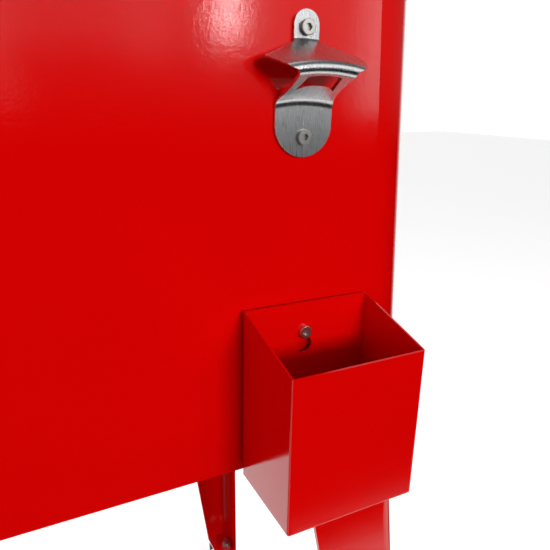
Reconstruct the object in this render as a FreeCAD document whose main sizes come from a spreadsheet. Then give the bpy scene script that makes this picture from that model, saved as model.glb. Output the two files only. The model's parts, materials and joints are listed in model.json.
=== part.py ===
"""Vintage soda cooler chest: insulated tapered steel chest with two hinged lids, splayed
sheet-metal legs on casters, a wall bottle opener and a hang-on cap catcher.

Frame: millimetres, +Z up, +X to the right of the chest, front face towards -Y.
Origin: on the floor, at the centre of the footprint.
"""
import FreeCAD, Part
import math
import os

import Sketcher

V = FreeCAD.Vector
X = V(1, 0, 0)
Y = V(0, 1, 0)
Z = V(0, 0, 1)

DIMENSIONS = [
    # chest body
    ("body_wide", 748.0, "width of the body at its lower edge"),
    ("body_deep", 390.0, "depth of the body, front wall to rear wall"),
    ("base_z", 542.6, "height of the body's lower edge above the floor"),
    ("rim_z", 882.5, "height of the body's upper edge above the floor"),
    ("lean", 0.0535, "inward lean of each side wall, mm per mm of height"),
    ("corner_r", 42.0, "outer radius of the body's upright corners"),
    ("skin", 1.2, "thickness of the outer sheet"),
    ("wall", 31.4, "wall thickness from outer skin to liner face"),
    ("pan_z", 560.0, "underside of the bottom pan"),
    ("pan_t", 2.0, "thickness of the bottom pan"),
    ("well_z", 592.4, "underside of the liner floor"),
    # rim and lids
    ("rim_over", 2.2, "overhang of the rim beyond the body"),
    ("rim_t", 2.0, "thickness of the rim's top sheet"),
    ("rim_drop", 16.5, "depth of the rim's turned-down skirt"),
    ("bar_half", 60.0, "half width of the rim's cross bar"),
    ("bridge_half", 32.0, "half width of the fixed hinge bridge"),
    ("lid_gap", 34.2, "distance of a lid's inner edge from the centre plane"),
    ("lid_out", 361.0, "distance of a lid's outer edge from the centre plane"),
    ("lid_half", 198.0, "half depth of a lid"),
    ("lid_z", 888.5, "lower edge of a lid"),
    ("lid_top", 912.0, "upper face of a lid and of the bridge"),
    ("lid_skin", 1.2, "thickness of the lid's outer sheet"),
    ("lid_corner", 44.0, "radius of a lid's outer corners"),
    ("lid_edge", 6.0, "radius of a lid's upper edge"),
    ("hinge_x", 33.0, "distance of a hinge axis from the centre plane"),
    ("hinge_z", 915.6, "height of the hinge axes"),
    ("knuckle_r", 3.0, "outer radius of the hinge knuckles"),
    ("hinge_pin_r", 1.5, "radius of the hinge pins"),
    ("hinge_run", 324.0, "length of each piano hinge"),
    ("leaf_w", 22.0, "width of a hinge leaf from the axis"),
    ("leaf_t", 1.5, "thickness of a hinge leaf"),
    ("grip_x", 306.0, "distance of a lid handle from the centre plane"),
    ("grip_span", 96.0, "distance between a lid handle's posts"),
    ("grip_rise", 24.0, "height of a lid handle's centre line above the lid"),
    ("grip_r", 4.0, "rod radius of a lid handle"),
    # legs
    ("leg_x", 360.2, "leg's outer corner from the centre plane at the body's edge"),
    ("leg_y", 192.8, "leg's outer corner from the mid plane at the body's edge"),
    ("leg_foot_x", 382.4, "leg's outer corner from the centre plane at the foot"),
    ("leg_foot_y", 240.0, "leg's outer corner from the mid plane at the foot"),
    ("foot_z", 64.0, "height of a leg's lower end"),
    ("leg_front", 91.2, "width of a leg's front flange at the top"),
    ("leg_front_foot", 34.0, "width of a leg's front flange at the foot"),
    ("leg_side", 39.5, "width of a leg's side flange at the top"),
    ("leg_side_foot", 43.8, "width of a leg's side flange at the foot"),
    ("leg_t", 2.0, "thickness of the leg sheet"),
    ("leg_r", 14.0, "outer radius of a leg's rounded corner"),
    ("hem_w", 6.0, "width of the folded hem along a leg's edges"),
    ("plate_t", 4.0, "thickness of the welded foot plate"),
    ("leg_bolt_r", 3.0, "radius of the leg bolts"),
    # casters
    ("swivel_x", 369.4, "swivel axis from the centre plane"),
    ("swivel_y", 209.0, "swivel axis from the mid plane"),
    ("trail", 31.9, "distance from swivel axis to wheel axis"),
    ("wheel_r", 26.0, "wheel radius"),
    ("wheel_w", 20.0, "wheel width"),
    ("fork_w", 27.0, "width of the caster fork"),
    ("fork_t", 2.0, "sheet thickness of the caster fork"),
    ("stem_r", 5.0, "radius of the caster stem"),
    ("stem_top", 79.0, "upper end of the caster stem"),
    ("axle_r", 3.0, "radius of the wheel axle"),
    # cap catcher
    ("bin_x", 217.2, "left side of the cap catcher from the centre plane"),
    ("bin_wide", 98.0, "width of the cap catcher"),
    ("bin_deep", 67.9, "depth of the cap catcher"),
    ("bin_z", 539.6, "lower face of the cap catcher"),
    ("bin_front", 109.4, "height of the cap catcher's front"),
    ("bin_back", 128.0, "height of the cap catcher's back"),
    ("bin_t", 1.3, "sheet thickness of the cap catcher"),
    ("bin_r", 1.8, "outer bend radius of the cap catcher"),
    ("stand", 4.0, "stand-off of the cap catcher from the front wall"),
    ("hang_x", 46.2, "hanging screw from the cap catcher's left side"),
    ("hang_z", 106.1, "hanging screw above the cap catcher's lower face"),
    ("key_drop", 9.7, "distance from the slot's end to the keyhole's large hole"),
    ("key_r", 6.1, "radius of the keyhole's large hole"),
    ("key_slot", 2.9, "half width of the keyhole's slot"),
    # bottle opener
    ("open_x", 258.8, "centre of the opener from the centre plane"),
    ("open_z", 539.6, "height from which the opener's levels are counted"),
    ("gap", 0.4, "gap between the front wall and the opener"),
    ("open_t", 2.0, "sheet thickness of the opener"),
    ("arc_z", 155.0, "level of the axis about which the opener's bends arch"),
    ("tab_top", 313.5, "level of the tab's top"),
    ("tab_bend", 296.6, "level of the tab's bend"),
    ("lip_z", 279.8, "level of the lip"),
    ("lip_y", 36.0, "reach of the lip from the wall"),
    ("plate_bend", 262.0, "level of the lower plate's bend"),
    ("plate_low", 226.6, "level of the lower plate's end"),
    ("tab_half", 8.7, "half width of the tab"),
    ("wing_half", 33.3, "half width of the roof's wings"),
    ("lip_half", 19.4, "half width at the lip"),
    ("plate_half", 20.4, "half width of the lower plate"),
    ("upper_screw", 303.4, "level of the opener's upper screw"),
    ("lower_screw", 239.2, "level of the opener's lower screw"),
    ("head_r", 4.75, "radius of the socket screw heads"),
    ("head_h", 2.75, "height of the socket screw heads"),
    ("shank_r", 2.5, "radius of the socket screw shanks"),
    ("hex_flat", 4.0, "width across flats of the hexagon sockets"),
    # drain
    ("drain_z", 610.0, "height of the drain at the outer skin"),
    ("drain_y", 90.0, "drain axis behind the mid plane"),
    ("spout_r", 10.0, "outer radius of the drain spout"),
    ("bore_r", 7.0, "inner radius of the drain spout"),
    ("spout_out", 26.0, "reach of the drain spout outside the skin"),
    # side handles
    ("push_z", 810.0, "height of the side handles at the skin"),
    ("push_span", 210.0, "distance between a side handle's posts"),
    ("push_rise", 40.0, "centre line of a side handle from the skin"),
    ("push_r", 8.0, "tube radius of the side handles"),
    ("foot_t", 3.0, "thickness of the side handles' mounting plates"),
]

doc = FreeCAD.newDocument("soda_cooler_chest")
sheet = doc.addObject("Spreadsheet::Sheet", "Sheet")


def fill_sheet():
    """Write every driving dimension into the spreadsheet with its name and meaning."""
    for row, (alias, value, meaning) in enumerate(DIMENSIONS, start=1):
        sheet.set("A%d" % row, meaning)
        sheet.set("B%d" % row, "%g" % value)
        sheet.setAlias("B%d" % row, alias)
    doc.recompute()


def full(expression):
    """Turn the short names in an expression into spreadsheet references."""
    text = str(expression)
    for alias, _, _ in sorted(DIMENSIONS, key=lambda d: -len(d[0])):
        text = replace_word(text, alias)
    return text


def replace_word(text, alias):
    """Prefix one dimension name with its sheet, leaving longer names alone."""
    parts = []
    position = 0
    while True:
        found = text.find(alias, position)
        if found < 0:
            parts.append(text[position:])
            return "".join(parts)
        before = text[found - 1] if found else " "
        after = text[found + len(alias)] if found + len(alias) < len(text) else " "
        whole = not (before.isalnum() or before in "_.") and not (after.isalnum() or after == "_")
        parts.append(text[position:found] + ("Sheet." if whole else "") + alias)
        position = found + len(alias)


def number(expression):
    """Value of an expression, for choosing edges and starting points."""
    return float(sheet.evalExpression(full(expression)))


def bind(obj, prop, expression):
    obj.setExpression(prop, full(expression))


def place(obj, x=0, y=0, z=0, rotation=None):
    """Put an object at an expression-driven position."""
    obj.Placement = FreeCAD.Placement(V(), rotation or FreeCAD.Rotation())
    for axis, expression in zip("xyz", (x, y, z)):
        bind(obj, "Placement.Base." + axis, expression)
    return obj


def box(name, x0, x1, y0, y1, z0, z1):
    obj = doc.addObject("Part::Box", name)
    bind(obj, "Length", "(%s) - (%s)" % (x1, x0))
    bind(obj, "Width", "(%s) - (%s)" % (y1, y0))
    bind(obj, "Height", "(%s) - (%s)" % (z1, z0))
    return place(obj, x0, y0, z0)


def cylinder(name, radius, length, x=0, y=0, z=0, along=Z):
    obj = doc.addObject("Part::Cylinder", name)
    bind(obj, "Radius", radius)
    bind(obj, "Height", length)
    return place(obj, x, y, z, FreeCAD.Rotation(Z, along))


def cut(name, base, *tools):
    """Base minus one or more tools."""
    tool = tools[0] if len(tools) == 1 else fuse(name + "_tools", *tools)
    obj = doc.addObject("Part::Cut", name)
    obj.Base = base
    obj.Tool = tool
    obj.Refine = True
    return obj


def fuse(name, *shapes):
    obj = doc.addObject("Part::MultiFuse", name)
    obj.Shapes = list(shapes)
    obj.Refine = True
    return obj


def together(name, *shapes):
    """Several separate solids kept as one sub-part."""
    obj = doc.addObject("Part::Compound", name)
    obj.Links = list(shapes)
    return obj


def common(name, *shapes):
    obj = doc.addObject("Part::MultiCommon", name)
    obj.Shapes = list(shapes)
    return obj


def mirror(name, source, normal=X):
    obj = doc.addObject("Part::Mirroring", name)
    obj.Source = source
    obj.Base = V()
    obj.Normal = normal
    return obj


def fillet(name, base, radius, chosen):
    """Round the edges of base for which chosen(edge) is true."""
    doc.recompute()
    size = number(radius)
    obj = doc.addObject("Part::Fillet", name)
    obj.Base = base
    edges = [i for i, e in enumerate(base.Shape.Edges, start=1) if chosen(e)]
    if not edges:
        raise RuntimeError("no edge found for " + name)
    obj.Edges = [(i, size, size) for i in edges]
    return obj


def wedge(name, z0, z1, low, high):
    """Block with a rectangle (x0, x1, y0, y1) low at z0 and another, high, at z1."""
    obj = doc.addObject("Part::Wedge", name)
    bind(obj, "Ymin", z0)
    bind(obj, "Ymax", z1)
    for prop, value in zip(("Xmin", "Xmax"), low[:2]):
        bind(obj, prop, value)
    for prop, value in zip(("X2min", "X2max"), high[:2]):
        bind(obj, prop, value)
    bind(obj, "Zmin", "-(%s)" % low[3])
    bind(obj, "Zmax", "-(%s)" % low[2])
    bind(obj, "Z2min", "-(%s)" % high[3])
    bind(obj, "Z2max", "-(%s)" % high[2])
    obj.Placement = FreeCAD.Placement(V(), FreeCAD.Rotation(X, 90))
    return obj


def upright(edge):
    """True for an edge that runs mostly up and down."""
    span = edge.Vertexes[-1].Point - edge.Vertexes[0].Point
    return span.Length > 0 and abs(span.z) > 0.8 * span.Length


def body_block(name, inset, z0, z1, radius):
    """Tapered block that follows the chest's walls at a distance inside the skin."""
    def half(z):
        return "body_wide / 2 - lean * ((%s) - base_z) - (%s)" % (z, inset)

    def rectangle(z):
        deep = "body_deep / 2 - (%s)" % inset
        return "-(%s)" % half(z), half(z), "-(%s)" % deep, deep

    block = wedge(name + "_block", z0, z1, rectangle(z0), rectangle(z1))
    return fillet(name + "_round", block, radius, upright)


def hexagon(name, flat, length, x, y, z, along=Z):
    """Six-sided prism across the given flats."""
    obj = doc.addObject("Part::Prism", name)
    obj.Polygon = 6
    bind(obj, "Circumradius", "(%s) / 2 / cos(30)" % flat)
    bind(obj, "Height", length)
    return place(obj, x, y, z, FreeCAD.Rotation(Z, along))


def polygon_sketch(body, name, role, points):
    """Closed polygon on one of a body's origin planes, every corner driven by expressions."""
    sketch = body.newObject("Sketcher::SketchObject", name)
    plane = [f for f in body.Origin.OriginFeatures if f.Role == role][0]
    sketch.AttachmentSupport = [(plane, "")]
    sketch.MapMode = "FlatFace"
    corners = [(number(u), number(v)) for u, v in points]
    count = len(corners)
    for i, (u, v) in enumerate(corners):
        end_u, end_v = corners[(i + 1) % count]
        sketch.addGeometry(Part.LineSegment(V(u, v, 0), V(end_u, end_v, 0)), False)
    for i in range(count):
        sketch.addConstraint(Sketcher.Constraint("Coincident", i, 2, (i + 1) % count, 1))
    for i, (u, v) in enumerate(points):
        for kind, expression in (("DistanceX", u), ("DistanceY", v)):
            start = number(expression)
            index = sketch.addConstraint(Sketcher.Constraint(kind, -1, 1, i, 1, start))
            sketch.setExpression("Constraints[%d]" % index, full(expression))
    return sketch


def padded(name, role, points, length):
    """PartDesign body: a polygon padded evenly to both sides of its plane."""
    body = doc.addObject("PartDesign::Body", name + "_body")
    sketch = polygon_sketch(body, name + "_sketch", role, points)
    pad = body.newObject("PartDesign::Pad", name + "_pad")
    pad.Profile = (sketch, [""])
    pad.SideType = "Symmetric"
    bind(pad, "Length", length)
    return body


# ---------------------------------------------------------------- chest body

def wall_frame(z, outward=0.0):
    """Placement expressions and rotation for a piece standing on the right side wall."""
    tilt = math.degrees(math.atan(number("lean")))
    turn = FreeCAD.Rotation(Y, 90 - tilt)
    x = "body_wide / 2 - lean * ((%s) - base_z) + (%s) * cos(atan(lean))" % (z, outward)
    up = "(%s) + (%s) * sin(atan(lean))" % (z, outward)
    return x, up, turn


def on_wall(obj, z, y=0, outward=0.0):
    x, up, turn = wall_frame(z, outward)
    return place(obj, x, y, up, turn)


def wall_hole(name, radius, z, y):
    """Drill through the right-hand wall."""
    drill = cylinder(name, radius, "wall + 40")
    return on_wall(drill, z, y, "-(wall + 20)")


def front_hole(name, radius, x, z):
    """Drill through the front wall."""
    return cylinder(name, radius, 40, x, "-body_deep / 2 - 20", z, Y)


def handle_bolt_spots():
    """Y positions of the bolts of one side handle, two to each mounting plate."""
    return ["%s * push_span / 2 + %s * 16" % (side, step) for side in (-1, 1) for step in (-1, 1)]


def shell_drills():
    drills = [mirror("drain_hole", wall_hole("drain_drill", "spout_r + 0.4", "drain_z", "drain_y"))]
    for i, y in enumerate(handle_bolt_spots()):
        drill = wall_hole("push_drill_%d" % i, "leg_bolt_r + 0.3", "push_z", y)
        drills += [drill, mirror("push_drill_left_%d" % i, drill)]
    drills.append(front_hole("hang_drill", "shank_r + 0.2", "bin_x + hang_x", "bin_z + hang_z"))
    for level in ("upper_screw", "lower_screw"):
        drills.append(front_hole(level + "_drill", "shank_r + 0.2", "open_x", "open_z + " + level))
    return drills


def make_shell():
    outer = body_block("shell_outer", 0, "base_z", "rim_z", "corner_r")
    inner = body_block("shell_inner", "skin", "base_z - 5", "rim_z + 5", "corner_r - skin")
    return cut("outer_shell", outer, inner, *shell_drills())


def make_foam():
    outer = body_block("foam_outer", "skin + 0.1", "pan_z + pan_t + 0.1", "rim_z - 1.5", "corner_r - skin")
    well = body_block("foam_well", "wall - 1.1", "well_z - 0.1", "rim_z + 5", "corner_r - wall + 1.1")
    return cut("insulation_foam", outer, well, *foam_pockets())


def foam_pockets():
    """Clearances in the foam for the drain, the bolts and the screws."""
    pockets = [mirror("drain_pocket", wall_hole("drain_way", "spout_r + 0.6", "drain_z", "drain_y"))]
    for i, y in enumerate(handle_bolt_spots()):
        way = wall_hole("push_way_%d" % i, "leg_bolt_r + 3.6", "push_z", y)
        pockets += [way, mirror("push_way_left_%d" % i, way)]
    pockets.append(front_hole("hang_way", "shank_r + 0.8", "bin_x + hang_x", "bin_z + hang_z"))
    for level in ("upper_screw", "lower_screw"):
        pockets.append(front_hole(level + "_way", "shank_r + 0.8", "open_x", "open_z + " + level))
    return pockets


def make_liner():
    outer = body_block("liner_outer", "wall - 1", "well_z", "rim_z", "corner_r - wall + 1")
    inner = body_block("liner_inner", "wall", "well_z + 1", "rim_z + 5", "corner_r - wall")
    hole = mirror("liner_drain", wall_hole("liner_drill", "spout_r + 0.2", "drain_z", "drain_y"))
    return cut("inner_liner", outer, inner, hole)


def make_pan():
    plan = body_block("pan_plan", "skin + 0.2", "base_z", "rim_z", "corner_r - skin - 0.2")
    level = box("pan_level", -500, 500, -300, 300, "pan_z", "pan_z + pan_t")
    plate = common("pan_plate", plan, level)
    return cut("bottom_pan", plate, *[leg_bolt_drill(i, x, y) for i, (x, y) in enumerate(all_bolts())])


def make_rim():
    top = body_block("rim_top", "-rim_over", "rim_z - rim_drop + rim_t", "rim_z + rim_t",
                     "corner_r + rim_over")
    edge = fillet("rim_edge", top, 1.6, upper_outline("rim_z + rim_t"))
    low = "rim_z - 40"
    channel_out = body_block("rim_channel_out", -0.3, low, "rim_z", "corner_r + 0.3")
    channel_in = body_block("rim_channel_in", "wall + 0.2", "rim_z - 50", "rim_z + 5", "corner_r - wall")
    channel = cut("rim_channel", channel_out, channel_in)
    opening = body_block("rim_opening", "wall + 1.6", low, "rim_z + 9", "corner_r - wall")
    ring = cut("rim_ring", edge, channel, opening)
    return fuse("top_rim", ring, make_cross_bar())


def make_cross_bar():
    """Inverted channel that carries the hinge bridge across the mouth."""
    reach = "body_deep / 2 - wall - 0.8"
    low = "rim_z - 12"
    bar = box("bar", "-bar_half", "bar_half", "-(%s)" % reach, reach, low, "rim_z + rim_t")
    inside = box("bar_inside", "1.6 - bar_half", "bar_half - 1.6", -300, 300, "rim_z - 20", "rim_z")
    return cut("bar_channel", bar, inside)


def upper_outline(level):
    """Chooser for the edges that lie flat at a level."""
    height = number(level)

    def chosen(edge):
        return all(abs(v.Point.z - height) < 0.01 for v in edge.Vertexes)

    return chosen


def make_bridge():
    reach = "lid_half"
    outer = box("bridge_outer", "-bridge_half", "bridge_half", "-" + reach, reach, "rim_z + rim_t", "lid_top")
    ends = fillet("bridge_ends", outer, 4, lambda e: near_top_end(e))
    inner = box("bridge_inner", "2 - bridge_half", "bridge_half - 2", "2 - lid_half", "lid_half - 2",
                "rim_z - 5", "lid_top - 2")
    holes = [cylinder("bridge_hole_%d" % i, 3.2, 10, 0, y, "lid_top - 6")
             for i, y in enumerate(bridge_spots())]
    return cut("lid_bridge", ends, inner, *holes)


def near_top_end(edge):
    """The bridge's upper front and upper rear edges."""
    flat = upper_outline("lid_top")(edge)
    across = abs(edge.Vertexes[-1].Point.x - edge.Vertexes[0].Point.x) > 1
    return flat and across


def bridge_spots():
    return ["-180", "0", "180"]


def make_bridge_screws():
    """Oval-head screws down the middle of the bridge."""
    screws = []
    for i, y in enumerate(bridge_spots()):
        head = cylinder("bridge_head_%d" % i, 5.5, 2.2, 0, y, "lid_top + 0.05")
        crown = fillet("bridge_crown_%d" % i, head, 1.4, upper_outline("lid_top + 2.25"))
        shank = cylinder("bridge_shank_%d" % i, 3.0, 9, 0, y, "lid_top - 8.9")
        socket = hexagon("bridge_socket_%d" % i, 3.5, 3, 0, y, "lid_top + 0.8")
        screws.append(cut("bridge_screw_%d" % i, fuse("bridge_screw_blank_%d" % i, crown, shank), socket))
    return together("bridge_screws", *screws)


# ---------------------------------------------------------------- lids

def outer_upright(edge):
    """Upright edges on a lid's outer end."""
    return upright(edge) and edge.Vertexes[0].Point.x > 200


def lid_block(name, inset, z0, z1, edge_r=None):
    """Lid-shaped block on the right-hand side, rounded at its outer corners."""
    base = box(name + "_box", "lid_gap + (%s)" % inset, "lid_out - (%s)" % inset,
               "-(lid_half - (%s))" % inset, "lid_half - (%s)" % inset, z0, z1)
    corners = fillet(name + "_corner", base, "lid_corner - (%s)" % inset, outer_upright)
    if edge_r is None:
        return corners
    top = upper_outline(z1)
    seam = number("lid_gap + (%s)" % inset) + 1
    return fillet(name + "_edge", corners, edge_r, lambda e: top(e) and e.BoundBox.XMax > seam)


def make_lid_skin():
    outer = lid_block("lid_outer", 0, "lid_z", "lid_top", "lid_edge")
    inner = lid_block("lid_hollow", "lid_skin", "lid_z - 5", "lid_top - lid_skin", "lid_edge - lid_skin")
    return cut("lid_skin_right", outer, inner)


def make_lid_foam():
    return lid_block("lid_foam_right", "lid_skin + 0.2", "lid_z + 1.4", "lid_top - lid_skin - 0.2",
                     "lid_edge - lid_skin")


def make_lid_panel():
    """Inner sheet of the lid with a shallow pressed field."""
    sheet_plate = lid_block("lid_panel_blank", "lid_skin + 0.2", "lid_z", "lid_z + 1.2")
    return sheet_plate


def make_lid_seal():
    """Hollow-section gasket under the lid's inner sheet."""
    outer = lid_block("seal_outer", 7, "rim_z + rim_t + 0.15", "lid_z - 0.05")
    inner = lid_block("seal_inner", 15, "rim_z - 5", "lid_z + 5")
    return cut("lid_seal_right", outer, inner)


def bow(name, span, rise, radius, bend):
    """Bow handle along Y: two posts, two bends and a bar, standing on z = 0."""
    pieces = [cylinder(name + "_bar", radius, "(%s) - 2 * (%s)" % (span, bend),
                       0, "-(%s) / 2 + (%s)" % (span, bend), rise, Y)]
    for tag, side in (("a", -1), ("b", 1)):
        at = "%d * (%s) / 2" % (side, span)
        pieces.append(cylinder(name + "_post_" + tag, radius, "(%s) - (%s)" % (rise, bend), 0, at, 0))
        elbow = doc.addObject("Part::Torus", name + "_elbow_" + tag)
        bind(elbow, "Radius1", bend)
        bind(elbow, "Radius2", radius)
        elbow.Angle3 = 90
        upright = FreeCAD.Rotation(X, 90)
        turn = upright if side > 0 else upright.multiply(FreeCAD.Rotation(Z, 90))
        turn = FreeCAD.Rotation(Z, 90).multiply(turn)
        place(elbow, 0, "%d * ((%s) / 2 - (%s))" % (side, span, bend), "(%s) - (%s)" % (rise, bend), turn)
        pieces.append(elbow)
    return fuse(name + "_rod", *pieces)


def make_lid_handle():
    rod = bow("lid_handle", "grip_span", "grip_rise", "grip_r", 12)
    discs = []
    for tag, side in (("a", -1), ("b", 1)):
        discs.append(cylinder("lid_handle_disc_" + tag, 10, 3, 0, "%d * grip_span / 2" % side, 0))
    handle = fuse("lid_handle_right", rod, *discs)
    return place(handle, "grip_x", 0, "lid_top + 0.1")


def knuckle_span(index):
    """Start and end of one hinge knuckle, counted from the front."""
    step = "(hinge_run / 9)"
    start = "-hinge_run / 2 + %d * %s + 0.3" % (index, step)
    return start, "%s - 0.6" % step


def make_leaf(name, knuckles, toward):
    """Hinge leaf on the right-hand hinge; toward is +1 for the lid side, -1 for the bridge."""
    bottom = "lid_top + 0.05"
    top = "lid_top + 0.05 + leaf_t"
    inner = "hinge_x + %d * 3.6" % toward
    outer = "hinge_x + %d * leaf_w" % toward
    low, high = (inner, outer) if toward > 0 else (outer, inner)
    plate = box(name + "_plate", low, high, "-hinge_run / 2 + 0.3", "hinge_run / 2 - 0.3", bottom, top)
    pieces = [plate]
    bores = []
    bore_r = "hinge_pin_r + (%s)" % (0.35 if toward > 0 else 0.1)
    for i in knuckles:
        start, length = knuckle_span(i)
        pieces.append(cylinder("%s_knuckle_%d" % (name, i), "knuckle_r", length,
                               "hinge_x", start, "hinge_z", Y))
        neck = ("hinge_x", inner) if toward > 0 else (inner, "hinge_x")
        pieces.append(box("%s_neck_%d" % (name, i), neck[0], neck[1], start,
                          "(%s) + (%s)" % (start, length), "lid_top + 0.75", top))
    bores.append(cylinder(name + "_bore", bore_r, "hinge_run + 10",
                          "hinge_x", "-hinge_run / 2 - 5", "hinge_z", Y))
    return cut(name, fuse(name + "_blank", *pieces), *bores)


def make_hinge_pin():
    return cylinder("hinge_pin_right", "hinge_pin_r", "hinge_run - 1",
                    "hinge_x", "-hinge_run / 2 + 0.5", "hinge_z", Y)


# ---------------------------------------------------------------- legs

LEG_CORNERS = (("front_right", 1, -1), ("front_left", -1, -1), ("rear_right", 1, 1), ("rear_left", -1, 1))


def leg_corner(z):
    """Outer corner of the rear right leg at a height, extended to the pan above the body's edge."""
    share = "((base_z - (%s)) / (base_z - foot_z))" % z
    x = "(leg_x + (leg_foot_x - leg_x) * %s)" % share
    y = "(leg_y + (leg_foot_y - leg_y) * %s)" % share
    wide = "(leg_front + (leg_front_foot - leg_front) * %s)" % share
    deep = "(leg_side + (leg_side_foot - leg_side) * %s)" % share
    return x, y, wide, deep


def leg_wedge(name, z0, z1, region):
    """Tapered block through the leg; region turns a leg corner into a rectangle."""
    return wedge(name, z0, z1, region(*leg_corner(z0)), region(*leg_corner(z1)))


def leg_edge(z):
    """Chooser for the leg's outer upright corner, whose lower end is at height z."""
    corner = [number(c) for c in leg_corner(z)[:2]]

    def chosen(edge):
        low = min(edge.Vertexes, key=lambda v: v.Point.z).Point
        return upright(edge) and abs(low.x - corner[0]) < 12 and abs(low.y - corner[1]) < 12

    return chosen


def make_leg_sheet():
    outer = leg_wedge("leg_outer", "foot_z", "pan_z", lambda x, y, w, d: (x + " - " + w, x, y + " - " + d, y))
    outer_round = fillet("leg_outer_round", outer, "leg_r", leg_edge("foot_z"))
    inner = leg_wedge("leg_inner", "foot_z - 5", "pan_z + 5",
                      lambda x, y, w, d: (x + " - 200", x + " - leg_t", y + " - 200", y + " - leg_t"))
    inner_round = fillet("leg_inner_round", inner, "leg_r - leg_t", leg_edge("foot_z"))
    return cut("leg_sheet", outer_round, inner_round)


def make_leg_hems():
    """Folded hems along both free edges of the leg sheet."""
    front = leg_wedge("leg_hem_front", "foot_z", "pan_z - 4",
                      lambda x, y, w, d: (x + " - " + w, x + " - " + w + " + hem_w",
                                          y + " - 2 * leg_t", y + " - leg_t"))
    side = leg_wedge("leg_hem_side", "foot_z", "pan_z - 4",
                     lambda x, y, w, d: (x + " - 2 * leg_t", x + " - leg_t",
                                         y + " - " + d, y + " - " + d + " + hem_w"))
    return front, side


def inside_leg(name, z0, z1, blank):
    """Part of a blank that lies inside the leg's angle."""
    fit = leg_wedge(name + "_fit", z0, z1,
                    lambda x, y, w, d: (x + " - " + w, x + " - leg_t / 2", y + " - " + d, y + " - leg_t / 2"))
    rounded = fillet(name + "_fit_round", fit, "leg_r - leg_t / 2", leg_edge(z0))
    return common(name, rounded, blank)


def leg_bolt_places():
    """Bolt positions of the rear right leg's top flange."""
    return [("leg_x - 78", "leg_y - 20"), ("leg_x - 50", "leg_y - 20"), ("leg_x - 22", "leg_y - 20")]


def all_bolts():
    spots = []
    for _, side, face in LEG_CORNERS:
        spots += [("%d * (%s)" % (side, x), "%d * (%s)" % (face, y)) for x, y in leg_bolt_places()]
    return spots


def leg_bolt_drill(index, x, y):
    return cylinder("pan_drill_%d" % index, "leg_bolt_r + 0.1", 20, x, y, "pan_z - 10")


def make_leg():
    """Rear right leg with its top flange and its welded foot plate."""
    sheet_part = make_leg_sheet()
    hems = make_leg_hems()
    top_blank = box("leg_top_blank", 200, 400, 100, 260, "pan_z - 2.5", "pan_z")
    top = inside_leg("leg_top", "pan_z - 2.5", "pan_z", top_blank)
    foot_blank = box("leg_foot_blank", 300, 420, 150, 260, "foot_z", "foot_z + plate_t")
    foot = inside_leg("leg_foot", "foot_z", "foot_z + plate_t", foot_blank)
    stem_hole = cylinder("leg_stem_hole", "stem_r + 0.4", 20, "swivel_x", "swivel_y", "foot_z - 5")
    bolts = [cylinder("leg_drill_%d" % i, "leg_bolt_r + 0.1", 20, x, y, "pan_z - 12")
             for i, (x, y) in enumerate(leg_bolt_places())]
    blank = fuse("leg_blank", sheet_part, top, foot, *hems)
    return cut("leg_rear_right", blank, stem_hole, shell_notch(), *bolts)


def shell_notch():
    """Room for the shell's rounded corner where the leg's top stands inside it."""
    around = box("notch_box", 250, 450, 100, 300, "base_z - 0.3", "pan_z + 6")
    inside = body_block("notch_inside", "skin + 0.3", "base_z - 2", "pan_z + 8", "corner_r - skin - 0.3")
    return cut("shell_notch", around, inside)


def make_leg_bolts():
    """Hexagon bolts that hold the legs under the pan."""
    bolts = []
    for i, (x, y) in enumerate(all_bolts()):
        head = hexagon("leg_bolt_head_%d" % i, 10, 4, x, y, "pan_z - 6.6")
        shank = cylinder("leg_bolt_shank_%d" % i, "leg_bolt_r", "4 + 2.5 + pan_t + 0.05", x, y, "pan_z - 6.6")
        bolts.append(fuse("leg_bolt_%d" % i, head, shank))
    return together("leg_bolts", *bolts)


# ---------------------------------------------------------------- casters

def caster_spot(side, face):
    return "%d * swivel_x" % side, "%d * swivel_y" % face


def fork_points():
    """Side outline of the fork, behind and below the swivel axis."""
    return [("-15", "foot_z - 0.4"), ("15", "foot_z - 0.4"), ("15", "foot_z - 6"),
            ("trail + 7", "wheel_r + 5"), ("trail + 7", "wheel_r - 7"), ("trail - 7", "wheel_r - 7"),
            ("-15", "foot_z - 14")]


def make_fork():
    """Swivel fork with its stem, on a swivel axis through the origin."""
    profile = padded("fork", "YZ_Plane", fork_points(), "fork_w")
    between = box("fork_between", "fork_t - fork_w / 2", "fork_w / 2 - fork_t", -60, 80, 0, "wheel_r * 2 + 4")
    stem = cylinder("fork_stem", "stem_r", "stem_top - foot_z + 2", 0, 0, "foot_z - 2")
    axle_hole = cylinder("fork_axle_hole", "axle_r + 0.1", 60, -30, "trail", "wheel_r", X)
    return fuse("fork_master", cut("fork_shape", profile, between, axle_hole), stem)


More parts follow.
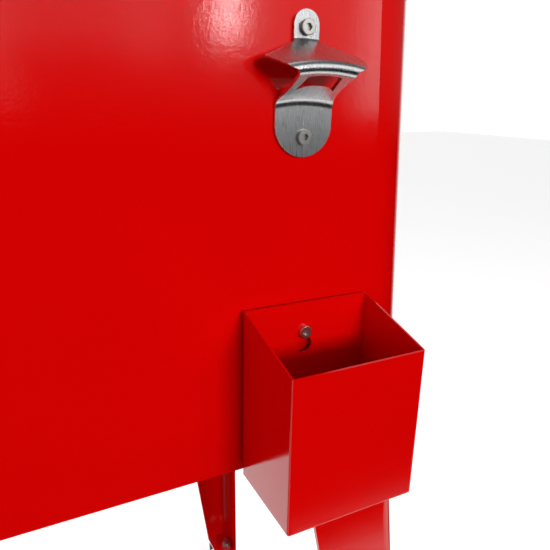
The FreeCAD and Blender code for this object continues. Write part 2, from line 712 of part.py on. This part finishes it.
def make_wheel_parts():
    """Tyre, hub and axle on the fork's wheel axis."""
    tyre_out = cylinder("tyre_out", "wheel_r", "wheel_w", "-wheel_w / 2", "trail", "wheel_r", X)
    tyre_round = fillet("tyre_round", tyre_out, 3, lambda e: e.BoundBox.XLength < 0.01)
    tyre_hole = cylinder("tyre_hole", 17.1, 40, -20, "trail", "wheel_r", X)
    tyre = cut("tyre_master", tyre_round, tyre_hole)
    hub_out = cylinder("hub_out", 17.0, "wheel_w - 2", "1 - wheel_w / 2", "trail", "wheel_r", X)
    dishes = []
    for tag, start in (("a", "-wheel_w / 2 - 1"), ("b", "wheel_w / 2 - 3")):
        ring = cylinder("dish_ring_" + tag, 14.0, 4, start, "trail", "wheel_r", X)
        boss = cylinder("dish_boss_" + tag, 7.0, 6, start + " - 1", "trail", "wheel_r", X)
        dishes.append(cut("dish_" + tag, ring, boss))
    hub_hole = cylinder("hub_hole", "axle_r + 0.4", 40, -20, "trail", "wheel_r", X)
    hub = cut("hub_master", hub_out, hub_hole, *dishes)
    pin = cylinder("axle_pin", "axle_r", "fork_w + 4", "-fork_w / 2 - 2", "trail", "wheel_r", X)
    head_l = cylinder("axle_head_l", 5.5, 2.6, "-fork_w / 2 - 2.7", "trail", "wheel_r", X)
    head_r = cylinder("axle_head_r", 5.5, 2.6, "fork_w / 2 + 0.1", "trail", "wheel_r", X)
    axle = fuse("axle_master", pin, head_l, head_r)
    return tyre, hub, axle


def copy_to(name, master, x, y):
    """Another instance of a master shape at a caster's place."""
    link = doc.addObject("Part::Compound", name)
    link.Links = [master]
    return place(link, x, y, 0)


def make_caster_nuts():
    nuts = []
    for tag, side, face in LEG_CORNERS:
        x, y = caster_spot(side, face)
        nut = hexagon("nut_blank_" + tag, 14, 6, x, y, "foot_z + plate_t + 0.1")
        hole = cylinder("nut_hole_" + tag, "stem_r + 0.35", 20, x, y, "foot_z")
        nuts.append(cut("nut_" + tag, nut, hole))
    return together("caster_nuts", *nuts)


# ---------------------------------------------------------------- front fittings

def bin_profile(inset, rise):
    """Side outline of the cap catcher, its top sloping down to the front."""
    back = "-body_deep / 2 - stand - (%s)" % inset
    front = "-body_deep / 2 - stand - bin_deep + (%s)" % inset
    low = "bin_z + (%s)" % inset
    return [(back, low), (back, "bin_z + bin_back + (%s)" % rise),
            (front, "bin_z + bin_front + (%s)" % rise), (front, low)]


def bin_edge(edge):
    """Upright and bottom edges of the cap catcher, but not those at its back."""
    low = number("bin_z") + 5
    at_back = edge.BoundBox.YMin > number("-body_deep / 2 - stand - 5")
    return (upright(edge) or edge.BoundBox.ZMax < low) and not at_back


def make_catcher():
    outer = padded("bin_outer", "YZ_Plane", bin_profile(0, 0), "bin_wide")
    inner = padded("bin_inner", "YZ_Plane", bin_profile("bin_t", 6), "bin_wide - 2 * bin_t")
    middle = "bin_x + bin_wide / 2"
    place(outer, middle)
    place(inner, middle)
    outer_round = fillet("bin_outer_round", outer, "bin_r", bin_edge)
    inner_round = fillet("bin_inner_round", inner, "bin_r - bin_t", bin_edge)
    back = "-body_deep / 2 - stand - 3"
    x = "bin_x + hang_x"
    big = cylinder("key_big", "key_r", 5, x, back, "bin_z + hang_z - key_drop", Y)
    end = cylinder("key_end", "key_slot", 5, x, back, "bin_z + hang_z", Y)
    slot = box("key_slot_box", x + " - key_slot", x + " + key_slot", back, back + " + 5",
               "bin_z + hang_z - key_drop", "bin_z + hang_z")
    return cut("cap_catcher", outer_round, inner_round, big, end, slot)


def socket_screw(name, x, z, seat):
    """Socket-head screw driven into the front wall; seat is the head's underside."""
    head = cylinder(name + "_head", "head_r", "head_h", x, seat + " - head_h", z, Y)
    rim = fillet(name + "_rim", head, 0.5, lambda e: e.BoundBox.YMax < number(seat + " - head_h") + 0.1)
    shank = cylinder(name + "_shank", "shank_r", 17, x, seat + " - 1", z, Y)
    socket = hexagon(name + "_socket", "hex_flat", 2.2, x, seat + " - head_h - 0.1", z, Y)
    return cut(name, fuse(name + "_blank", rim, shank), socket)


def opener_outline():
    """Section of the opener's folded sheet, front face first, as (y, level) pairs."""
    back = "-body_deep / 2 - gap"
    face = back + " - open_t"
    roof = "atan((tab_bend - lip_z) / (lip_y - gap - open_t))"
    under = "atan((lip_z - plate_bend) / (lip_y - gap - open_t))"
    lip = "open_t / sin((%s + %s) / 2)" % (roof, under)
    return [(face, "open_z + tab_top + 6"), (face, "open_z + tab_bend"),
            ("-body_deep / 2 - lip_y", "open_z + lip_z"), (face, "open_z + plate_bend"),
            (face, "open_z + plate_low - 4"), (back, "open_z + plate_low - 4"),
            (back, "open_z + plate_bend + open_t * tan(45 deg - %s / 2)" % under),
            ("-body_deep / 2 - lip_y + " + lip, "open_z + lip_z"),
            (back, "open_z + tab_bend - open_t * tan(45 deg - %s / 2)" % roof),
            (back, "open_z + tab_top + 6")]


def opener_points():
    """The outline with levels counted from the arching axis."""
    return [(y, "%s - (open_z + arc_z)" % z) for y, z in opener_outline()]


def make_opener_sheet():
    """The folded sheet revolved about the arching axis, so every bend is an arc."""
    body = doc.addObject("PartDesign::Body", "opener_sheet")
    sketch = polygon_sketch(body, "opener_section", "YZ_Plane", opener_points())
    turn = body.newObject("PartDesign::Revolution", "opener_turn")
    turn.Profile = (sketch, [""])
    turn.ReferenceAxis = (sketch, ["H_Axis"])
    turn.Angle = 60
    turn.Midplane = True
    place(body, "open_x", 0, "open_z + arc_z")
    return body


def arc_edge(point):
    """Chooser for the arched bend line through one corner of the section."""
    y, level = [number(p) for p in point]

    def chosen(edge):
        curve = edge.Curve
        if not hasattr(curve, "Radius"):
            return False
        return abs(curve.Radius - level) < 0.05 and abs(curve.Center.y - y) < 0.05

    return chosen


def round_bends(body):
    """Round each fold of the opener on both faces."""
    points = opener_points()
    shape = body
    for tag, index, radius in (("tab_front", 1, 2.0), ("lip_front", 2, 4.6), ("plate_front", 3, 6.5),
                               ("plate_back", 6, 8.5), ("lip_back", 7, 2.6), ("tab_back", 8, 4.0)):
        shape = fillet("opener_" + tag, shape, radius, arc_edge(points[index]))
    return shape


def across(name, points):
    """Outline in the XZ plane turned into a prism that passes through the opener."""
    body = padded(name, "XZ_Plane", points, 80)
    return place(body, "open_x", "-body_deep / 2", "open_z")


def opener_front():
    """Front view of the opener: tab, winged roof and rounded lower plate."""
    tab = box("tab_front_box", "open_x - tab_half", "open_x + tab_half", "-body_deep / 2 - 40", 0,
              "open_z + tab_bend - 12", "open_z + tab_top - tab_half")
    tab_end = cylinder("tab_end", "tab_half", 80,
                       "open_x", "-body_deep / 2 - 40", "open_z + tab_top - tab_half", Y)
    right = [("tab_half", "tab_bend - 1"), ("tab_half + 3", "tab_bend - 2.6"),
             ("wing_half - 1.4", "lip_z + 6.1"), ("wing_half", "lip_z + 5.1"),
             ("wing_half - 0.9", "lip_z + 4.2"), ("lip_half + 4.4", "lip_z - 0.9"),
             ("lip_half + 1.2", "lip_z - 1.8"), ("lip_half", "lip_z - 3.4"),
             ("plate_half - 2", "lip_z - 7.3"), ("plate_half - 2.6", "lip_z - 11.8"),
             ("plate_half - 2.2", "plate_bend + 3.5"), ("plate_half - 1", "plate_bend + 0.3"),
             ("plate_half", "plate_bend - 2.5"), ("plate_half", "plate_low + plate_half")]
    left = [("-(%s)" % x, z) for x, z in reversed(right)]
    wings = across("wings", right + left)
    plate = cylinder("plate_end", "plate_half", 80,
                     "open_x", "-body_deep / 2 - 40", "open_z + plate_low + plate_half", Y)
    return fuse("opener_front", tab, tab_end, wings, plate)


def opener_window():
    """Slot in the opener's lower face that takes a crown cap's edge."""
    top = [(str(x), "lip_z - %s" % drop)
           for x, drop in ((-11.6, 5.8), (-10, 5.2), (-5.5, 4.8), (0, 4.6),
                           (5.5, 4.8), (10, 5.2), (11.6, 5.8))]
    low = [(str(x), "plate_bend + %s" % rise)
           for x, rise in ((13.4, 5), (9.5, 6.8), (5, 7.6), (0, 7.9), (-5, 7.6), (-9.5, 6.8), (-13.4, 5))]
    return across("window", top + low)


def make_opener():
    folded = round_bends(make_opener_sheet())
    shaped = common("opener_shaped", folded, opener_front())
    holes = [front_hole("opener_hole_" + level, "shank_r + 0.3", "open_x", "open_z + " + level)
             for level in ("upper_screw", "lower_screw")]
    return cut("bottle_opener", shaped, opener_window(), *holes)


def make_spacer():
    """Collar on the hanging screw that holds the cap catcher off the wall."""
    start = "-body_deep / 2 - stand + 0.1"
    x, z = "bin_x + hang_x", "bin_z + hang_z"
    blank = cylinder("spacer_blank", 4.4, "stand - 0.2", x, start, z, Y)
    return cut("catcher_spacer", blank, cylinder("spacer_bore", "shank_r + 0.3", 12, x, start + " - 4", z, Y))


def make_bumpers():
    """Rubber pads behind the cap catcher's lower corners."""
    start = "-body_deep / 2 - stand + 0.05"
    pads = [cylinder("bumper_" + tag, 5, "stand - 0.3",
                     "bin_x + bin_wide / 2 + %d * 38" % side, start, "bin_z + 24", Y)
            for tag, side in (("a", -1), ("b", 1))]
    return together("catcher_bumpers", *pads)


def make_front_screws():
    seat = "-body_deep / 2 - gap - open_t - 0.05"
    upper = socket_screw("upper_opener_screw", "open_x", "open_z + upper_screw", seat)
    lower = socket_screw("lower_opener_screw", "open_x", "open_z + lower_screw", seat)
    hang_seat = "-body_deep / 2 - stand - bin_t - 0.3"
    hang = socket_screw("catcher_screw", "bin_x + hang_x", "bin_z + hang_z", hang_seat)
    return together("opener_screws", upper, lower), hang


# ---------------------------------------------------------------- side fittings

def make_drain():
    """Drain spout, its nut inside the liner and the pull-out plug, made on the right-hand wall."""
    y = "drain_y"
    tube = on_wall(cylinder("spout_tube", "spout_r", "wall + 8 + spout_out"), "drain_z", y, "-(wall + 8)")
    flange = on_wall(cylinder("spout_flange", 16, 5), "drain_z", y, 0.1)
    flange_round = fillet("spout_flange_round", flange, 1.5,
                          lambda e: e.BoundBox.XMin > number("body_wide / 2"))
    hole = on_wall(cylinder("spout_hole", "bore_r", "wall + 80"), "drain_z", y, "-(wall + 20)")
    spout = cut("spout_right", fuse("spout_blank", tube, flange_round), hole)
    nut_out = on_wall(cylinder("drain_nut_out", 14, 5), "drain_z", y, "-(wall + 5.1)")
    nut_hole = on_wall(cylinder("drain_nut_hole", "spout_r + 0.1", 20), "drain_z", y, "-(wall + 12)")
    nut = cut("drain_nut_right", nut_out, nut_hole)
    stem = on_wall(cylinder("plug_stem", "bore_r - 0.4", 22), "drain_z", y, "spout_out - 20")
    head = on_wall(cylinder("plug_head", "spout_r - 0.8", 8), "drain_z", y, "spout_out + 0.4")
    plug = fuse("plug_right", stem, head)
    return mirror("drain_spout", spout), mirror("drain_nut", nut), mirror("drain_plug", plug)


def make_push_handle():
    """Tube handle, mounting plates and bolts of the right-hand side."""
    rod = bow("push", "push_span", "push_rise - foot_t - 0.2", "push_r", 20)
    handle = doc.addObject("Part::Compound", "side_handle_right")
    handle.Links = [rod]
    on_wall(handle, "push_z", 0, "foot_t + 0.2")
    plates = []
    bolts = []
    for tag, side in (("a", -1), ("b", 1)):
        y = "%d * push_span / 2" % side
        plate = box("push_plate_" + tag, -14, 14, y + " - 25", y + " + 25", 0, "foot_t")
        rounded = fillet("push_plate_round_" + tag, plate, 9, upright)
        holes = [cylinder("push_plate_hole_%s_%d" % (tag, step), "leg_bolt_r + 0.2", 20, 0,
                          "%s + %d * 16" % (y, step), -10) for step in (-1, 1)]
        plates.append(cut("push_plate_cut_" + tag, rounded, *holes))
    bracket = doc.addObject("Part::Compound", "handle_brackets_right")
    bracket.Links = plates
    on_wall(bracket, "push_z", 0, 0.1)
    for i, y in enumerate(handle_bolt_spots()):
        head = cylinder("push_bolt_head_%d" % i, 5.5, 2.8, 0, y, "foot_t + 0.15")
        crown = fillet("push_bolt_crown_%d" % i, head, 2, upper_outline("foot_t + 2.95"))
        shank = cylinder("push_bolt_shank_%d" % i, "leg_bolt_r", 17, 0, y, "foot_t + 0.2 - 16")
        bolts.append(fuse("push_bolt_%d" % i, crown, shank))
    bolt_set = doc.addObject("Part::Compound", "push_bolts_right")
    bolt_set.Links = bolts
    on_wall(bolt_set, "push_z", 0, 0.1)
    return handle, bracket, bolt_set


# ---------------------------------------------------------------- assembly

def build_parts():
    """Every sub-part by node name."""
    nodes = {}
    nodes["outer_shell"] = make_shell()
    nodes["bottom_pan"] = make_pan()
    nodes["insulation_foam"] = make_foam()
    nodes["inner_liner"] = make_liner()
    nodes["top_rim"] = make_rim()
    nodes["lid_bridge"] = make_bridge()
    nodes["bridge_screws"] = make_bridge_screws()
    add_pair(nodes, "lid_skin", make_lid_skin())
    add_pair(nodes, "lid_foam", make_lid_foam())
    add_pair(nodes, "lid_panel", make_lid_panel())
    add_pair(nodes, "lid_seal", make_lid_seal())
    add_pair(nodes, "lid_handle", make_lid_handle())
    add_pair(nodes, "lid_leaf", make_leaf("lid_leaf_right", (1, 3, 5, 7), 1))
    add_pair(nodes, "bridge_leaf", make_leaf("bridge_leaf_right", (0, 2, 4, 6, 8), -1))
    add_pair(nodes, "hinge_pin", make_hinge_pin())
    nodes["bottle_opener"] = make_opener()
    nodes["opener_screws"], nodes["catcher_screw"] = make_front_screws()
    nodes["cap_catcher"] = make_catcher()
    nodes["catcher_spacer"] = make_spacer()
    nodes["catcher_bumpers"] = make_bumpers()
    nodes["drain_spout"], nodes["drain_nut"], nodes["drain_plug"] = make_drain()
    handle, bracket, bolts = make_push_handle()
    add_pair(nodes, "side_handle", handle)
    add_pair(nodes, "handle_brackets", bracket)
    nodes["handle_bolts"] = together("handle_bolts", bolts, mirror("push_bolts_left", bolts))
    add_legs(nodes)
    add_casters(nodes)
    return nodes


def add_pair(nodes, name, right):
    """A right-hand piece and its mirror image on the left."""
    nodes[name + "_right"] = right
    nodes[name + "_left"] = mirror(name + "_left", right)


def add_legs(nodes):
    rear_right = make_leg()
    front_right = mirror("leg_front_right", rear_right, Y)
    nodes["leg_rear_right"] = rear_right
    nodes["leg_front_right"] = front_right
    nodes["leg_rear_left"] = mirror("leg_rear_left", rear_right)
    nodes["leg_front_left"] = mirror("leg_front_left", front_right)
    nodes["leg_bolts"] = make_leg_bolts()
    nodes["caster_nuts"] = make_caster_nuts()


def add_casters(nodes):
    fork = make_fork()
    tyre, hub, axle = make_wheel_parts()
    for tag, side, face in LEG_CORNERS:
        x, y = caster_spot(side, face)
        for kind, master in (("fork", fork), ("tyre", tyre), ("hub", hub), ("axle", axle)):
            name = "caster_%s_%s" % (kind, tag)
            nodes[name] = copy_to(name, master, x, y)


def check_document():
    """Stop if any object failed to build."""
    failed = [obj.Label for obj in doc.Objects if "Invalid" in obj.State or "Error" in obj.State]
    if failed:
        raise RuntimeError("failed to build: " + ", ".join(failed))


def export(nodes):
    os.makedirs("parts", exist_ok=True)
    for name, obj in nodes.items():
        shape = obj.Shape
        if shape.isNull() or not shape.isValid() or not shape.Solids:
            raise RuntimeError("bad shape: " + name)
        shape.exportStep("parts/%s.step" % name)
        print("%-24s solids %d  volume %.1f" % (name, len(shape.Solids), shape.Volume))


fill_sheet()
parts = build_parts()
doc.recompute()
check_document()
export(parts)
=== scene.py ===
import json
import math

import bmesh
import bpy
from mathutils import Matrix, Vector

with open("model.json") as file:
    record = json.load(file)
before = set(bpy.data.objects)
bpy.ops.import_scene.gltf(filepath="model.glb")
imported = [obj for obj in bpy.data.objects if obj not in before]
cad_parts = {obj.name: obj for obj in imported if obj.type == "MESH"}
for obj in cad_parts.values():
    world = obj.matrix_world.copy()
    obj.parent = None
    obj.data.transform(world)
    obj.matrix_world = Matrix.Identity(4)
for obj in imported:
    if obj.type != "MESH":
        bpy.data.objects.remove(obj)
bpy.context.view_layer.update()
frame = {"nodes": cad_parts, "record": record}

scene = bpy.context.scene
nodes = frame["nodes"]

# Metres, in the frame's axes: +X to the chest's right, front wall towards -Y, floor at z = 0.
FRONT_WALL = -0.195                          # y of the front wall
CAMERA_PLACE = Vector((0.0754, -0.5137, 0.8017))
CAMERA_RIGHT = Vector((0.88904, -0.45739, 0.02012))
CAMERA_UP = Vector((0.12043, 0.27603, 0.95357))
CAMERA_LENS = 36.65                          # mm, on a sensor 36 mm wide
BOX_DISTANCE = 2.6                           # from the mirrored camera to each soft box it sees
FLOOR_HALF = 12                              # half width of the studio floor
STRIP_HALF = 1.2                             # half width of the pale strip in front of the chest
STRIP_FAR, STRIP_NEAR = -0.76, -0.22         # its reach in y
STRIP_Z = 0.002                              # its height over the floor


# ---------------------------------------------------------------- shader helpers

def new_material(name):
    """Material with a plain Principled shader; returns it with its tree and shader."""
    material = bpy.data.materials.new(name)
    material.use_nodes = True
    tree = material.node_tree
    return material, tree, tree.nodes["Principled BSDF"]


def add(tree, kind, **settings):
    """New node with some of its settings."""
    node = tree.nodes.new(kind)
    for key, value in settings.items():
        setattr(node, key, value)
    return node


def coords(tree, stretch=(1, 1, 1)):
    """Object coordinates in metres, stretched along the axes."""
    source = add(tree, "ShaderNodeTexCoord")
    mapping = add(tree, "ShaderNodeMapping")
    mapping.inputs["Scale"].default_value = stretch
    tree.links.new(source.outputs["Object"], mapping.inputs["Vector"])
    return mapping.outputs["Vector"]


def noise(tree, vector, scale, detail=3.0, rough=0.5):
    """Noise from 0 to 1 with that many waves to the metre."""
    node = add(tree, "ShaderNodeTexNoise")
    node.inputs["Scale"].default_value = scale
    node.inputs["Detail"].default_value = detail
    node.inputs["Roughness"].default_value = rough
    tree.links.new(vector, node.inputs["Vector"])
    return node.outputs["Fac"]


def ramp(tree, value, low, high, start=0.3, end=0.7):
    """Value remapped from start..end to low..high."""
    node = add(tree, "ShaderNodeMapRange")
    node.inputs["From Min"].default_value = start
    node.inputs["From Max"].default_value = end
    node.inputs["To Min"].default_value = low
    node.inputs["To Max"].default_value = high
    tree.links.new(value, node.inputs["Value"])
    return node.outputs["Result"]


def tint(tree, value, low, high):
    """Colour between low and high by value."""
    node = add(tree, "ShaderNodeMix", data_type="RGBA")
    node.inputs["A"].default_value = (*low, 1)
    node.inputs["B"].default_value = (*high, 1)
    tree.links.new(value, node.inputs["Factor"])
    return node.outputs["Result"]


def greatest(tree, first, *others):
    """Largest of several values."""
    for other in others:
        node = add(tree, "ShaderNodeMath", operation="MAXIMUM")
        tree.links.new(first, node.inputs[0])
        tree.links.new(other, node.inputs[1])
        first = node.outputs[0]
    return first


def bump(tree, height, strength, distance, base=None):
    """Normal raised by a height, on top of another bump when one is given."""
    node = add(tree, "ShaderNodeBump")
    node.inputs["Strength"].default_value = strength
    node.inputs["Distance"].default_value = distance
    tree.links.new(height, node.inputs["Height"])
    if base is not None:
        tree.links.new(base, node.inputs["Normal"])
    return node.outputs["Normal"]


# ---------------------------------------------------------------- materials

def red_powder_coat():
    """Glossy red powder coat: fine orange peel under a clear gloss."""
    material, tree, shader = new_material("red_powder_coat")
    place = coords(tree)
    broad = noise(tree, place, 9, 2)
    fine = noise(tree, place, 620, 2, 0.55)
    soft = noise(tree, place, 210, 1, 0.4)
    red = tint(tree, broad, (0.68, 0.0006, 0.0004), (0.74, 0.0010, 0.0006))
    tree.links.new(red, shader.inputs["Base Color"])
    tree.links.new(ramp(tree, fine, 0.09, 0.13), shader.inputs["Roughness"])
    waves = bump(tree, soft, 0.05, 0.0006)
    tree.links.new(bump(tree, fine, 0.13, 0.0003, waves), shader.inputs["Normal"])
    shader.inputs["IOR"].default_value = 1.5
    return material


def metal(name, low, high, rough_low, rough_high,
          grain=(1, 1, 1), scale=500, depth=0.04, metallic=1.0):
    """Metal with a grain stretched along one axis, and soft uneven polish."""
    material, tree, shader = new_material(name)
    place = coords(tree, grain)
    grain_value = noise(tree, place, scale, 3, 0.6)
    cloud = noise(tree, coords(tree), 28, 2)
    tree.links.new(tint(tree, cloud, low, high), shader.inputs["Base Color"])
    tree.links.new(ramp(tree, grain_value, rough_low, rough_high), shader.inputs["Roughness"])
    tree.links.new(bump(tree, grain_value, depth, 0.0003), shader.inputs["Normal"])
    shader.inputs["Metallic"].default_value = metallic
    return material


def dull(name, low, high, rough, scale, depth, size=0.0005):
    """Plastic, rubber or foam with a moulded grain."""
    material, tree, shader = new_material(name)
    place = coords(tree)
    grain = noise(tree, place, scale, 4, 0.6)
    tree.links.new(tint(tree, noise(tree, place, 24, 3), low, high), shader.inputs["Base Color"])
    tree.links.new(ramp(tree, grain, rough - 0.08, rough + 0.08), shader.inputs["Roughness"])
    tree.links.new(bump(tree, grain, depth, size), shader.inputs["Normal"])
    return material


MATERIALS = {
    "red_paint": red_powder_coat(),
    "galvanised": metal("zinc_plate", (0.48, 0.49, 0.50), (0.62, 0.63, 0.64), 0.28, 0.42,
                        scale=90, depth=0.03),
    "foam": dull("foam", (0.80, 0.72, 0.50), (0.90, 0.83, 0.62), 0.85, 900, 0.5),
    "liner_steel": metal("liner_steel", (0.74, 0.75, 0.76), (0.84, 0.85, 0.86), 0.36, 0.50,
                         (1, 1, 30), 60, metallic=0.55),
    "rim_steel": metal("rim_steel", (0.62, 0.62, 0.63), (0.70, 0.70, 0.71), 0.16, 0.28, (1, 40, 40), 40),
    "screw_steel": metal("screw_steel", (0.62, 0.60, 0.57), (0.84, 0.83, 0.80), 0.30, 0.42,
                         scale=900, depth=0.05),
    "opener_steel": metal("opener_steel", (0.60, 0.61, 0.62), (0.72, 0.73, 0.74), 0.25, 0.33,
                          (30, 1, 1), 55, 0.03),
    "brass": metal("brass", (0.66, 0.48, 0.18), (0.78, 0.60, 0.28), 0.22, 0.36, scale=400),
    "black_plastic": dull("black_plastic", (0.018, 0.018, 0.018), (0.032, 0.032, 0.032), 0.45,
                          1200, 0.15),
    "seal_rubber": dull("seal_rubber", (0.020, 0.020, 0.020), (0.040, 0.040, 0.040), 0.7,
                        1500, 0.2),
    "chrome": metal("chrome", (0.74, 0.74, 0.75), (0.80, 0.80, 0.81), 0.05, 0.10, scale=700, depth=0.01),
    "tyre_rubber": dull("tyre_rubber", (0.045, 0.045, 0.045), (0.075, 0.075, 0.075), 0.6,
                        1500, 0.25),
}


def dress_nodes():
    """Give every CAD node the material of its slot."""
    for part in frame["record"]["subparts"]:
        obj = nodes[part["node"]]
        obj.data.materials.clear()
        obj.data.materials.append(MATERIALS[part["material_slot"]])


dress_nodes()


# ---------------------------------------------------------------- camera, floor and light

def add_camera():
    """Close view of the chest's lower right front corner, from its left and slightly above."""
    data = bpy.data.cameras.new("camera")
    data.lens = CAMERA_LENS
    data.sensor_width = 36.0
    data.clip_start = 0.01
    data.clip_end = 60
    obj = bpy.data.objects.new("camera", data)
    scene.collection.objects.link(obj)
    back = CAMERA_RIGHT.cross(CAMERA_UP).normalized()
    turn = Matrix((CAMERA_RIGHT, CAMERA_UP, back)).transposed().to_4x4()
    obj.matrix_world = Matrix.Translation(CAMERA_PLACE) @ turn
    scene.camera = obj


def pale_paper(name, glow, strength):
    """Pale studio paper that glows a little, so it stays even."""
    material, tree, shader = new_material(name)
    value = noise(tree, coords(tree), 3, 2)
    tree.links.new(tint(tree, value, (0.90, 0.90, 0.90), (0.93, 0.93, 0.93)), shader.inputs["Base Color"])
    shader.inputs["Emission Color"].default_value = glow
    shader.inputs["Emission Strength"].default_value = strength
    return material, shader


def add_floor():
    """Studio floor, which neither the paint's colour nor its gloss picks up."""
    mesh = bpy.data.meshes.new("floor")
    edit = bmesh.new()
    bmesh.ops.create_grid(edit, x_segments=8, y_segments=8, size=FLOOR_HALF)
    edit.to_mesh(mesh)
    edit.free()
    obj = bpy.data.objects.new("floor", mesh)
    scene.collection.objects.link(obj)
    material, shader = pale_paper("floor_paper", (1, 1, 1, 1), 0.45)
    shader.inputs["Roughness"].default_value = 0.9
    mesh.materials.append(material)
    obj.visible_diffuse = False
    obj.visible_glossy = False


def add_near_floor():
    """Pale strip of floor just in front of the chest that only reflections see."""
    mesh = bpy.data.meshes.new("near_floor")
    corners = [(-STRIP_HALF, STRIP_FAR, STRIP_Z), (STRIP_HALF, STRIP_FAR, STRIP_Z),
               (STRIP_HALF, STRIP_NEAR, STRIP_Z), (-STRIP_HALF, STRIP_NEAR, STRIP_Z)]
    mesh.from_pydata(corners, [], [(0, 1, 2, 3)])
    obj = bpy.data.objects.new("near_floor", mesh)
    scene.collection.objects.link(obj)
    material, _ = pale_paper("near_floor_paper", (1.0, 0.97, 0.93, 1), 0.32)
    mesh.materials.append(material)
    obj.visible_camera = False
    obj.visible_diffuse = False
    obj.visible_shadow = False


def add_light(name, place, target, wide, high, power, glossy=True):
    """Rectangular soft box turned towards a point; glossy says whether reflections see it."""
    data = bpy.data.lights.new(name, "AREA")
    data.shape = "RECTANGLE"
    data.size = wide
    data.size_y = high
    data.energy = power
    obj = bpy.data.objects.new(name, data)
    scene.collection.objects.link(obj)
    obj.location = place
    obj.rotation_euler = (Vector(target) - Vector(place)).to_track_quat("-Z", "Y").to_euler()
    obj.visible_camera = False
    obj.visible_glossy = glossy


def mirrored_light(name, azimuth, elevation, wide, high, power):
    """Soft box that the camera sees in the front wall.

    The angles are in degrees, from the camera's mirror image behind the wall: azimuth to the
    right of straight forward, elevation, and the box's width and height.
    """
    start = Vector((CAMERA_PLACE.x, 2 * FRONT_WALL - CAMERA_PLACE.y, CAMERA_PLACE.z))
    turn = math.radians(azimuth)
    rise = math.radians(elevation)
    way = Vector((math.sin(turn) * math.cos(rise), -math.cos(turn) * math.cos(rise), math.sin(rise)))
    size_x = 2 * BOX_DISTANCE * math.tan(math.radians(wide / 2))
    size_y = 2 * BOX_DISTANCE * math.tan(math.radians(high / 2))
    add_light(name, start + way * BOX_DISTANCE, start, size_x, size_y, power)


def add_world():
    """White studio for the camera; reflections see it behind and to the left, and a dim room in front."""
    world = bpy.data.worlds.new("studio")
    scene.world = world
    world.use_nodes = True
    tree = world.node_tree
    background = tree.nodes["Background"]
    output = tree.nodes["World Output"]
    way = add(tree, "ShaderNodeTexCoord")
    split = add(tree, "ShaderNodeSeparateXYZ")
    tree.links.new(way.outputs["Generated"], split.inputs["Vector"])
    behind = ramp(tree, split.outputs["Y"], 0.0, 1.45, 0.25, 0.55)
    above = ramp(tree, split.outputs["Z"], 0.0, 0.13, -0.05, 0.06)
    left = ramp(tree, split.outputs["X"], 0.35, 0.0, -0.8, -0.5)
    tree.links.new(greatest(tree, behind, above, left), background.inputs["Strength"])
    background.inputs["Color"].default_value = (1, 1, 1, 1)
    white = add(tree, "ShaderNodeBackground")
    white.inputs["Color"].default_value = (1, 1, 1, 1)
    white.inputs["Strength"].default_value = 1.05
    path = add(tree, "ShaderNodeLightPath")
    mix = add(tree, "ShaderNodeMixShader")
    tree.links.new(path.outputs["Is Camera Ray"], mix.inputs["Fac"])
    tree.links.new(background.outputs["Background"], mix.inputs[1])
    tree.links.new(white.outputs["Background"], mix.inputs[2])
    tree.links.new(mix.outputs["Shader"], output.inputs["Surface"])


def add_lights():
    """Three soft lights, and the boxes and bands that stand mirrored in the paint."""
    add_light("key", (0.5, -2.8, 1.30), (0.15, -0.2, 0.65), 0.8, 0.5, 45, glossy=False)
    add_light("left_fill", (-2.4, -1.7, 1.2), (0.1, -0.2, 0.6), 1.8, 1.4, 16, glossy=False)
    add_light("top", (0.1, 0.3, 3.2), (0, 0, 0.8), 2.6, 2.0, 9)
    mirrored_light("upper_box", 30, 24, 46, 20, 7)
    mirrored_light("streak", 22.7, 10.2, 1.7, 10, 2.4)
    mirrored_light("right_band", 36.9, 6.0, 2.6, 14, 0.8)
    mirrored_light("between_bands", 30.0, 7.5, 9, 11, 0.28)
    mirrored_light("middle_band", 15.5, 8.5, 4.5, 10, 0.13)
    mirrored_light("left_band", 2.2, 4.0, 2.5, 10, 0.08)


scene.view_settings.view_transform = "Standard"
add_camera()
add_floor()
add_near_floor()
add_world()
add_lights()
